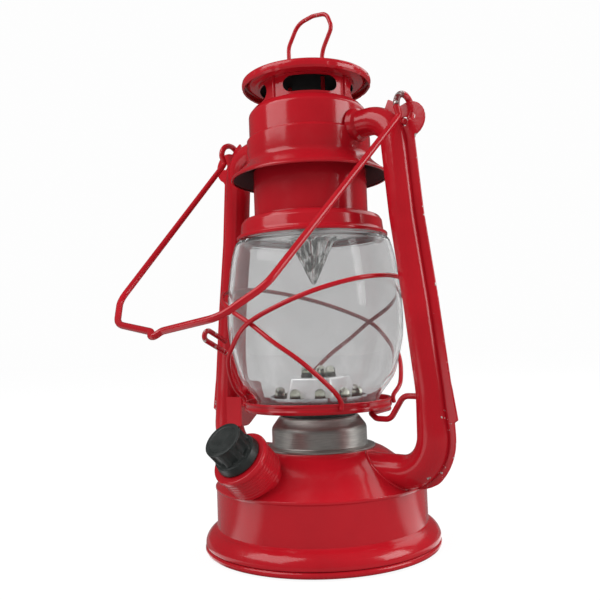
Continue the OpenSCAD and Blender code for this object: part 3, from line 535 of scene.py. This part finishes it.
def knobFlutes(angle, radius, height):  # hollows between the ribs, closed at both ends
    inside = min(height - knob["fluteLow"], knob["fluteHigh"] - height, knob["fade"]) / knob["fade"]
    if radius < knob["grip"] - 0.6 or inside <= 0:
        return radius, height
    aside = (angle * knob["ribs"] / (2 * pi) + 0.5) % 1 - 0.5
    swing = aside * 2 * pi / knob["ribs"]
    centre = knob["grip"] + knob["flute"] - knob["depth"]
    reach = knob["flute"] ** 2 - (centre * sin(swing)) ** 2
    floor = centre * cos(swing) - math.sqrt(reach) if reach > 0 else radius
    return radius - max(0, radius - floor) * inside, height


def knobOutline():
    skirt, grip, top, gap, skirtTop = (knob[key] for key in ("skirt", "grip", "top", "gap", "skirtTop"))
    low, high, shaft, roof = knob["fluteLow"], knob["fluteHigh"], knob["shaft"], gap + knob["hollowTop"]
    line = [(knob["hollow"], roof), (knob["hollow"], gap)]
    line += round2([(7.4, gap), (skirt, gap), (skirt - 0.9, skirtTop), (grip + 0.3, skirtTop + 0.1)],
                   [0.5, 0.6])
    heights = [skirtTop + 0.3, low, low + 0.2, low + 0.45, low + 0.7, low + 3.6]
    heights += [high - 0.9, high - 0.65, high - 0.4]
    line += [(grip, height) for height in heights]
    line += round2([(grip, high - 0.35), (grip - 0.1, top), (6.9, top), (6.6, top - 0.15),
                    (0.05, top - 0.15)], [0.5, 0.3, 0.3])
    return line + [(0.05, knob["shaftTop"]), (shaft, knob["shaftTop"]), (shaft, roof)]


lathe("dimmerKnob", knobOutline(), "knob", "dimmer", "knob_black", "dimmer_knob", turns=192,
      shape=knobFlutes, where=spoutPlace)
print("base, spout and knob made")


cup = {"wall": 23.5, "brim": 27.4, "low": 46.7, "top": 62.2, "mouth": 18.3, "sheet": 0.8}
cupLine = [(cup["brim"], cup["low"]), (cup["brim"], cup["low"] + 0.7)]
cupLine += round2([(cup["brim"] - 0.4, cup["low"] + 0.9), (cup["wall"], cup["low"] + 1.1),
                   (cup["wall"], cup["top"] - 5.4), (cup["wall"] - 3.6, cup["top"] - 0.6),
                   (cup["mouth"] + 0.6, cup["top"])], [0.8, 4, 1.6], 7)
lathe("burnerCup", sheetOutline(cupLine, cup["sheet"]), "steel", "frame", "steel", "burner_cup")


plate = {"edge": 36.5, "low": 65.4, "high": 70.2, "hole": 25.4, "floor": 66.4, "lip": 1.2,
         "ring": (30.7, 31.9, 68.4)}


def plateOutline():
    edge, low, high, hole, floor = (plate[key] for key in ("edge", "low", "high", "hole", "floor"))
    inner, groove = edge - plate["lip"], edge - 0.35
    ringIn, ringOut, ringTop = plate["ring"]
    line = [(hole, low)]
    line += round2([(hole + 1, low), (edge - 0.6, low), (edge, low + 1.4), (groove, low + 2.2),
                    (groove, high - 1.6), (edge, high - 1), (edge, high), (inner, high), (inner, floor),
                    (ringOut + 0.8, floor)], [0.7, 0.4, 0.4, 0.4, 0.45, 0.45, 0.4, 0.8], 4)
    return line + [(ringOut, floor), (ringOut, ringTop), (ringIn, ringTop), (ringIn, floor), (hole, floor)]


lathe("globePlate", plateOutline(), "red", "globe_carrier", "red_paint", "globe_plate")


globe = {"low": 66.45, "height": 83.0, "foot": 30.4, "neck": 33.4, "neckHeight": 5.0, "wall": 2.0,
         "bowl": [(30.4, 0.045), (32.0, 0.075), (35.8, 0.133), (38.6, 0.187), (41.0, 0.29),
                  (43.1, 0.404), (43.7, 0.52), (43.3, 0.64), (42.5, 0.745), (41.0, 0.874),
                  (39.4, 0.955), (38.1, 0.988), (35.7, 1.0)]}
globeTop = globe["low"] + globe["height"]
bowl = [(radius, globe["low"] + globe["height"] * share) for radius, share in globe["bowl"]]
globeLine = [(globe["foot"], globe["low"])] + smooth2(bowl, 6)
globeLine += [(globe["neck"] + 0.2, globeTop + 0.2), (globe["neck"], globeTop + 0.5),
              (globe["neck"], globeTop + globe["neckHeight"])]
lathe("clearGlobe", sheetOutline(globeLine, globe["wall"]), "globe", "globe_carrier", "clear_globe",
      "globe", sharp=60)


block = {"low": 71.0, "high": 81.0, "foot": 19.65, "top": 16.4, "sides": 5, "turn": 43}
blockRings = []
for radius, height in ((block["foot"], block["low"]), (block["top"], block["high"])):
    turns = [radians(block["turn"]) + 2 * pi * k / block["sides"] for k in range(block["sides"])]
    blockRings.append([Vector((radius * cos(turn), radius * sin(turn), height)) for turn in turns])
centreBlock = newPiece("centreBlock", *joined(blockRings, caps=True), "block", "frame", "bright_metal",
                       "deck_reflector")
roundEdges(centreBlock, 0.9, 30)


collar = {"lip": 37.8, "low": 149.75, "height": 11.6, "tube": 28.6, "sheet": 0.8}


def collarOutline():
    lip, low = collar["lip"], collar["low"]
    line = [(lip - 3.2, low), (lip - 1, low)]
    return line + round2([(lip - 0.8, low), (lip, low + 0.1), (lip, low + 1.7), (lip - 1.5, low + 2.2),
                          (lip - 1.9, low + 3.2), (lip - 2.4, low + 7.8), (lip - 3.6, low + 9.8),
                          (collar["tube"] + 1.6, low + 11.2), (collar["tube"], low + collar["height"])],
                         [0.5, 0.6, 0.4, 2, 1.6, 1.6, 0.6], 5)


lathe("globeCollar", sheetOutline(collarOutline(), collar["sheet"]), "red", "chimney", "red_paint",
      "globe_collar")


cone = {"edge": 30.9, "tip": 126.95, "root": 10.6, "dish": 149.35, "sheet": 0.7,
        "pleats": 24, "fold": 0.075, "wave": 0.4}


def conePleats(angle, radius, height):  # the cone is pleated and its dish rippled
    fold = 2 * abs((angle * cone["pleats"] / (2 * pi)) % 1 - 0.5) - 0.5
    if radius < cone["root"] + 1:
        return radius * (1 + cone["fold"] * fold), height
    fade = max(0, min(1, (cone["edge"] - 2 - radius) / 8))
    return radius + cone["fold"] * cone["root"] * fold * fade, height + cone["wave"] * fade * fold


def coneOutline():
    tip, root, dish, edge = cone["tip"], cone["root"], cone["dish"], cone["edge"]
    line = [(0.05, tip), (0.8, tip + 0.2), (1.3, tip + 0.8)]
    return line + round2([(1.6, tip + 1.5), (root, dish - 1), (root + 4, dish + 1), (edge - 8, dish + 2.6),
                          (edge, dish + 3)], [3, 3, 8], 5)


lathe("coneMirror", sheetOutline(coneOutline(), cone["sheet"]), "cone", "chimney", "bright_metal",
      "cone_reflector", turns=240, sharp=25, shape=conePleats)
print("burner, plate, globe and collar made")


hood = {"skirt": 39.8, "low": 180.35, "wall": 31.2, "step": 1.4, "crease": 200.75, "top": 216.95,
        "neck": 24.4, "sheet": 0.8}


def hoodOutline():
    skirt, low, wall, top = hood["skirt"], hood["low"], hood["wall"], hood["top"]
    upper = wall - hood["step"]
    line = round2([(skirt - 1.2, low - 0.4), (skirt - 0.3, low - 0.5), (skirt, low + 0.2),
                   (skirt - 0.5, low + 1.1), (skirt - 1.6, low + 1.4)], [0.35, 0.4, 0.5], 4)
    line += smooth2([(skirt - 1.9, low + 1.9), (wall + 2.8, low + 5.2), (wall + 0.5, low + 7.8),
                     (wall, low + 9.6)], 6)
    return line + round2([(wall, low + 10), (wall, hood["crease"] - 0.8), (upper, hood["crease"] + 0.2),
                          (upper, top - 4), (upper - 2.6, top - 0.9), (hood["neck"], top)],
                         [0.5, 0.4, 3, 2], 6)


lathe("hoodShell", sheetOutline(hoodOutline(), hood["sheet"]), "redHood", "frame", "red_paint",
      "hood_shell")


cap = {"rim": 32.8, "low": 226.55, "seat": 227.35, "neck": 24.4, "sheet": 0.8, "dent": 0.25}


def capDents(angle, radius, height):  # the hand-rolled rim is dented along its lower half
    if radius < cap["rim"] - 1.3 or height > cap["seat"] + 2.4:
        return radius, height
    wave = sin(19 * angle + 1.8 * sin(3 * angle)) + 0.6 * sin(31 * angle + 2.3 * sin(5 * angle))
    return radius - cap["dent"] * max(0, wave - 0.3), height


def capOutline():
    rim, low, seat, neck, sheet = (cap[key] for key in ("rim", "low", "seat", "neck", "sheet"))
    return round2([(0.05, seat + 4), (12, seat + 3.9), (neck - 4, seat + 2.6), (neck - 1.8, seat + sheet),
                   (neck + 1.8, seat + sheet), (neck + 4.2, seat + 1.6), (rim - 3.2, seat + 3.5),
                   (rim - 1.4, seat + 3.8), (rim - 0.3, seat + 3.0), (rim, seat + 1.7),
                   (rim - 0.1, low + 0.9), (rim - 0.8, low)],
                  [4, 2, 0.8, 0.8, 2, 1.4, 0.9, 0.9, 0.8, 0.4], 4)


lathe("topCap", sheetOutline(capOutline(), -cap["sheet"]), "redCap", "frame", "red_paint", "top_cap",
      turns=300, shape=capDents)
print("hood and cap made")


tube = {"radius": 6.5, "out": 66.4, "elbow": 201.35, "foot": 38.5, "ridges": (37, 53), "ridge": 0.35,
        "sides": 60, "swell": 1.2, "swellFrom": 78, "swellTo": 48, "upperEnd": 30.6, "lowerEnd": 26,
        "course": [(15.4, 1), (11.4, 0.71), (6, 0.465), (1.6, 0.225), (0, 0)],
        "bends": [14, 90, 90, 60, 17]}
flange = {"width": 10.6, "thick": 1.0, "ear": (60.4, 197.35), "earRadius": 8.2,
          "bailHole": (57.8, 196.95, 2.0), "spareHole": (61.9, 198.55, 1.7), "spur": (61.8, 77.8),
          "spurOut": 1.8, "top": 44.4, "tip": 51.0, "taper": 3.4}


def tubeRoute():  # from the hood down to the dome; the course is a way in and a share of the rise
    elbow, foot = tube["elbow"], tube["foot"]
    points = [(tube["out"] - inwards, 0, foot + (elbow - foot) * share)
              for inwards, share in tube["course"]]
    return bend([(tube["upperEnd"], 0, elbow), *points, (tube["lowerEnd"], 0, foot)], tube["bends"], 14)


route = tubeRoute()


def flangeLoop():  # outline of the pressed seam, from the ear down to the tip under the lower bend
    path, outer, inner = finer(route, 1.0), [], []
    ear = Vector((flange["ear"][0], 0, flange["ear"][1]))
    low, high = flange["spur"]
    for before, at, after in zip(path, path[1:], path[2:]):
        overHood = at.z > tube["elbow"] - 4 and at.x < flange["top"]
        if overHood or (at.z < tube["foot"] + 4 and at.x < flange["tip"]):
            continue
        ahead = (after - before).normalized()
        out = Vector((-ahead.z, 0, ahead.x))
        width = flange["width"]
        if at.z < tube["foot"] + 4:
            width -= flange["taper"] * max(0, min(1, 1 - (at.x - flange["tip"]) / 9))
        if low < at.z < high and at.x > 60:
            width += flange["spurOut"] * (high - at.z) / (high - low)
        reach = (ear - at).dot(out)
        aside = flange["earRadius"] ** 2 - ((ear - at).length_squared - reach ** 2)
        if aside > 0:
            width = max(width, reach + math.sqrt(aside))
        outer.append(at + out * width)
        inner.append(at + out * (tube["radius"] - 1))
    return [(at.x, at.z) for at in outer + inner[::-1]], len(outer)


tubePath = finer(route, 4.0)


def tubeRadius(i, k):  # the tube widens into its foot, and two fine ridges run along its inner side
    share = max(0, min(1, (tube["swellFrom"] - tubePath[i].z) / (tube["swellFrom"] - tube["swellTo"])))
    swell = tube["swell"] * share * share * (3 - 2 * share)
    return tube["radius"] + swell + (tube["ridge"] if k in tube["ridges"] else 0)


lip = {"wire": 1.2, "sides": 8, "points": 72}


def footLip():  # a rolled lip where the tube enters the dome
    path, rings = [], []
    reach = tube["radius"] + tube["swell"] + 0.2
    for i in range(lip["points"]):
        swing = 2 * pi * i / lip["points"]
        across, up = reach * cos(swing), tube["foot"] + reach * sin(swing)
        up = min(max(up, base["shoulder"] + 0.95), base["dome"] - 0.4)
        path.append(Vector((math.sqrt(along(domeLine, up, 1, 0) ** 2 - across ** 2) + 0.3, across, up)))
    for i, at in enumerate(path):
        ahead = (path[(i + 1) % len(path)] - path[i - 1]).normalized()
        out = Vector((0, at.y, at.z - tube["foot"]))
        out = (out - ahead * out.dot(ahead)).normalized()
        side = ahead.cross(out)
        swings = [2 * pi * k / lip["sides"] for k in range(lip["sides"])]
        rings.append([at + lip["wire"] / 2 * (cos(swing) * out + sin(swing) * side) for swing in swings])
    return joined(rings + rings[:1])


flangeLine, flangeEdge = flangeLoop()
lipVerts, lipFaces = footLip()
for side, turn in bothSides.items():
    back = turn.to_3x3() @ Vector((0, 1, 0))
    rings = rounds([turn @ at for at in tubePath], tubeRadius, tube["sides"], back)
    newPiece(side + "Tube", *joined(rings), "redTube", "frame", "red_paint", side + "_side_tube", sharp=70)
    cutSheet(side + "SeamFlange", flangeLine, [flange["bailHole"], flange["spareHole"]], flange["thick"],
             turn @ upright, "redTube", "frame", "red_paint", rubbed=flangeEdge)
    newPiece(side + "FootLip", [turn @ at for at in lipVerts], lipFaces, "redTube", "frame", "red_paint",
             sharp=70)


crimp = {"at": 29.4, "width": 3.4, "radius": 7.8}
for side, turn in bothSides.items():
    sideways = turn @ Matrix.Translation((crimp["at"], 0, tube["elbow"])) @ Matrix.Rotation(pi / 2, 4, "Y")
    crimpLine = round2([(tube["radius"], 0), (crimp["radius"] + 0.6, 0), (crimp["radius"], crimp["width"]),
                        (tube["radius"] + 0.1, crimp["width"] + 1.2)], [0.6, 0.8], 5)
    crimpLine += [(tube["radius"] - 0.4, crimp["width"] + 1.2), (tube["radius"] - 0.4, 0)]
    hides = ["tube_collars"] if side == "right" else []
    lathe(side + "TubeCrimp", crimpLine, "redTube", "frame", "red_paint", *hides, turns=64, where=sideways)


bracket = {"cheek": -49.6, "thick": 1.0, "low": 54.6, "high": 76.2, "front": -6, "back": 8,
           "web": (-60.7, -49.4, 70.0), "hole": (0, 72.6, 1.5)}
cheekLine = round2([(bracket["front"], bracket["low"] + 4), (bracket["front"], bracket["low"]),
                    (bracket["front"] + 5, bracket["low"]), (bracket["back"], bracket["low"] + 7),
                    (bracket["back"], bracket["high"]), (bracket["front"], bracket["high"]),
                    (bracket["front"], bracket["low"] + 12)], [1.2, 5, 4, 3, 1.5], 8)
crossways = Matrix(((0, 0, 1, bracket["cheek"]), (1, 0, 0, 0), (0, 1, 0, 0), (0, 0, 0, 1)))
cutSheet("leverBracketCheek", cheekLine, [bracket["hole"]], bracket["thick"], crossways, "redTube",
         "frame", "red_paint", "lever_bracket", edge=0.3)
webLeft, webRight, webTop = bracket["web"]
webLine = round2([(webRight, webTop - 4), (webRight, webTop), (webLeft, webTop), (webLeft, bracket["low"]),
                  (webRight, bracket["low"]), (webRight, webTop - 6)], [1.2, 0.5, 1.5, 0.6], 5)
webPlace = Matrix.Translation((0, bracket["front"] + bracket["thick"] / 2, 0)) @ upright
cutSheet("leverBracketWeb", webLine, [], bracket["thick"], webPlace, "redTube", "frame", "red_paint",
         edge=0.3)
print("side tubes made")


guard = {"wire": 2.2, "globe": 43.7, "plate": 70.2, "over": 1.15,
         "rise": [(146, -6.4, -2.6), (146, -6.4, 0.8), (139, -2.4, 7), (122, 1.1, 19.4), (106, 2.3, 28.8),
                  (90, 2.9, 37.4), (70, 2.5, 45), (48, 2.2, 51.4), (24, 2.1, 56), (0, 2.1, 57.6)]}


def guardHalf(way):  # from the plate up to the side; the two wires pass over and under each other
    half = []
    for turn, out, up in guard["rise"]:
        reach = guard["globe"] + out - way * (guard["over"] if turn == 90 else 0)
        swing = radians(way * turn)
        half.append(Vector((reach * cos(swing), reach * sin(swing), guard["plate"] + up)))
    return half


guardPath = curve(guardHalf(-1) + guardHalf(1)[-2::-1], 8)
for side, turn in bothSides.items():
    wire("guardWire" + side.capitalize(), [turn @ at for at in guardPath], guard["wire"], (1, 0, 0), "red",
         "globe_carrier", "red_paint", "guard_wire_" + side)


ring = {"wire": 2.1, "leg": 11, "foot": 183.55, "bend": 242.95, "top": 263.3}


def ringRoute():
    leg, foot, low, top = ring["leg"], ring["foot"], ring["bend"], ring["top"]
    return bend([(-leg, 0, foot), (-leg, 0, low + 9), (-4, 0, top - 1), (6, 0, top), (15, 0, top - 1.6),
                 (18, 0, top - 9.4), (leg, 0, low), (leg, 0, foot)], [7, 9, 12, 5.5, 5, 14], 10)


wire("liftRing", ringRoute(), ring["wire"], (0, 1, 0), "redRing", "chimney", "red_paint", "lift_ring")


lever = {"wire": 2.7, "pivot": 72.6, "bar": 63.75, "dip": 61.75, "back": 28, "half": 24, "turn": 31,
         "crank": 40.5, "step": 46.1, "stub": 61.9, "side": 53, "dipAt": 42.9, "dipStep": 50.5}


def leverRoute():
    pivot, bar, dip, turn = lever["pivot"], lever["bar"], lever["dip"], lever["turn"]
    half, back, thumb = lever["half"], lever["back"], -lever["side"]
    under = [(lever["stub"], 0, pivot), (lever["dipStep"], 0, pivot), (lever["dipAt"], 0, dip),
             (turn + 4, 0, dip), (turn - 2, 4, bar), (half, back, bar), (-half, back, bar), (-turn, 0, bar),
             (-lever["crank"], 0, bar), (-lever["step"], 0, pivot), (thumb, 0, pivot)]
    grip = [(thumb, -10, pivot + 20.5), (thumb, -28, pivot + 29.5), (thumb, -25.5, pivot + 34.4),
            (thumb, -12, pivot + 27.6)]
    return bend(under + grip, [5, 5, 5, 4, 4, 4, 5, 3, 2.4, 3, 6, 2.6, 2.6], 8)


wire("liftLever", leverRoute(), lever["wire"], (0, 0, 1), "redLever", "lever", "red_paint", "lift_lever")


bail = {"wire": 3.0, "pivot": 203.25, "eye": 6.3, "at": 57.8, "reach": 142.9, "tilt": 45,
        "eyeTurn": 322, "join": 40}


def bailRoute():
    at, eyeRadius, reach = bail["at"], bail["eye"], bail["reach"]
    eye = [Vector((at, -eyeRadius * cos(radians(swing)), eyeRadius * sin(radians(swing))))
           for swing in range(bail["join"], bail["eyeTurn"] + 1, 6)]
    arm = [(at, -eyeRadius, 0), (at - 11.2, -reach + 26, 0), (at - 24.8, -reach + 10, 0),
           (3.5, -reach + 4, 0)]
    otherEye = [Vector((-x, y, z)) for x, y, z in eye]
    otherArm = [(-x, y, z) for x, y, z in reversed(arm)]
    arms = bend([eye[0], *arm, (0, -reach, 0), *otherArm, otherEye[0]],
                [2, 16, 16, 3, 2.4, 3, 16, 16, 2], 10)
    lean = Matrix.Translation((0, 0, bail["pivot"])) @ Matrix.Rotation(radians(bail["tilt"]), 4, "X")
    return [lean @ spot for spot in eye[:0:-1] + arms + otherEye[1:]]


wire("bailHandle", bailRoute(), bail["wire"], (1, 0, 0), "redBail", "bail", "red_paint", "bail_handle")
print("wires made")


stage = {"floor": (0.55, 0.55, 0.55, 1), "mirroredFloor": (0.25, 0.25, 0.25, 1), "size": 6.0, "glow": 0.8,
         "white": 1.138, "sky": 0.985, "fill": 0.68, "mirrored": 0.1, "plain": (1, 1, 1, 1),
         "cards": ((-0.47, -0.88, 0), (0.81, 0.59, 0)), "card": 1.5, "cardEdge": (0.95, 0.99),
         "drop": 0.0005, "lampAim": (0, 0, 0.12)}


def seenBy(start):  # 1 for what the camera sees, straight or through the globe
    rays = start.make("ShaderNodeLightPath").socket.node.outputs
    eye, passing = (Signal(start.tree, rays[name]) for name in ("Is Camera Ray", "Is Transmission Ray"))
    return start.math("MAXIMUM", eye, passing), Signal(start.tree, rays["Is Glossy Ray"])


def mixed(start, factor, first, second):
    return start.make("ShaderNodeMixShader", {}, {0: factor, 1: first, 2: second})


def backdropWhite():  # white to the camera, still taking a shadow; two light cards lie on it for the gloss
    material, start, spot = newMaterial("studioFloor")
    spoke = outwards(start, spot, "NORMALIZE")
    left, right = (start.vector("DOT_PRODUCT", spoke, way, out=1).step(*stage["cardEdge"])
                   for way in stage["cards"])
    seen, gloss = seenBy(start)
    shade = gloss.blend(stage["floor"], stage["mirroredFloor"])
    matte = principled(start, color=shade, rough=0.9, shine=0.0)
    glow, card = (start.make("ShaderNodeEmission", {}, {"Color": stage["plain"], "Strength": stage[name]})
                  for name in ("white", "card"))
    matte = mixed(start, gloss * start.math("MAXIMUM", left, right), matte, card)
    return close(start, material, mixed(start, seen * stage["glow"], matte, glow))


floorMesh = bpy.data.meshes.new("studioFloor")
half = stage["size"] / 2
corners = [(-half, -half, 0), (half, -half, 0), (half, half, 0), (-half, half, 0)]
floorMesh.from_pydata(corners, [], [(0, 1, 2, 3)])
floorMesh.materials.append(backdropWhite())
floor = bpy.data.objects.new("studioFloor", floorMesh)
bpy.context.scene.collection.objects.link(floor)
floor.location.z = -stage["drop"]

world = bpy.data.worlds.new("studio")
bpy.context.scene.world = world
world.use_nodes = True
world.node_tree.nodes.clear()
sky = Signal(world.node_tree)
fill, mirrored, white = (
    sky.make("ShaderNodeBackground", {}, {"Color": stage["plain"], "Strength": stage[name]})
    for name in ("fill", "mirrored", "sky"))
seen, gloss = seenBy(sky)
lit = mixed(sky, gloss, fill, mirrored)
sky.make("ShaderNodeOutputWorld", {}, {"Surface": mixed(sky, seen, lit, white)})

lamps = {"key": ((-0.35, -0.86, 0.95), 0.95, 9.5), "side": ((0.93, 0.37, 0.5), 0.55, 5.0),
         "rim": ((0.2, 0.8, 0.9), 0.8, 3.0)}
for name, (spot, size, power) in lamps.items():
    lamp = bpy.data.lights.new(name, "AREA")
    lamp.energy, lamp.size = power, size
    holder = bpy.data.objects.new(name, lamp)
    bpy.context.scene.collection.objects.link(holder)
    holder.location = spot
    beam = Vector(stage["lampAim"]) - Vector(spot)
    holder.rotation_euler = beam.to_track_quat("-Z", "Y").to_euler()

view = {"from": (232.9, -275.7, 99.5), "aim": (-4.5, -5.8, 119.5), "roll": -2.13, "lens": 43.2}
lensData = bpy.data.cameras.new("photoView")
lensData.sensor_fit, lensData.sensor_width, lensData.lens = "HORIZONTAL", 36, view["lens"]
lensData.clip_start = 0.01
camera = bpy.data.objects.new("photoView", lensData)
bpy.context.scene.collection.objects.link(camera)
heading = (Vector(view["aim"]) - Vector(view["from"])).to_track_quat("-Z", "Y").to_matrix().to_4x4()
roll = Matrix.Rotation(radians(view["roll"]), 4, "Z")
camera.matrix_world = Matrix.Translation(Vector(view["from"]) * mm) @ heading @ roll
bpy.context.scene.camera = camera
bpy.context.scene.view_settings.view_transform = "Standard"
print("camera and light set")
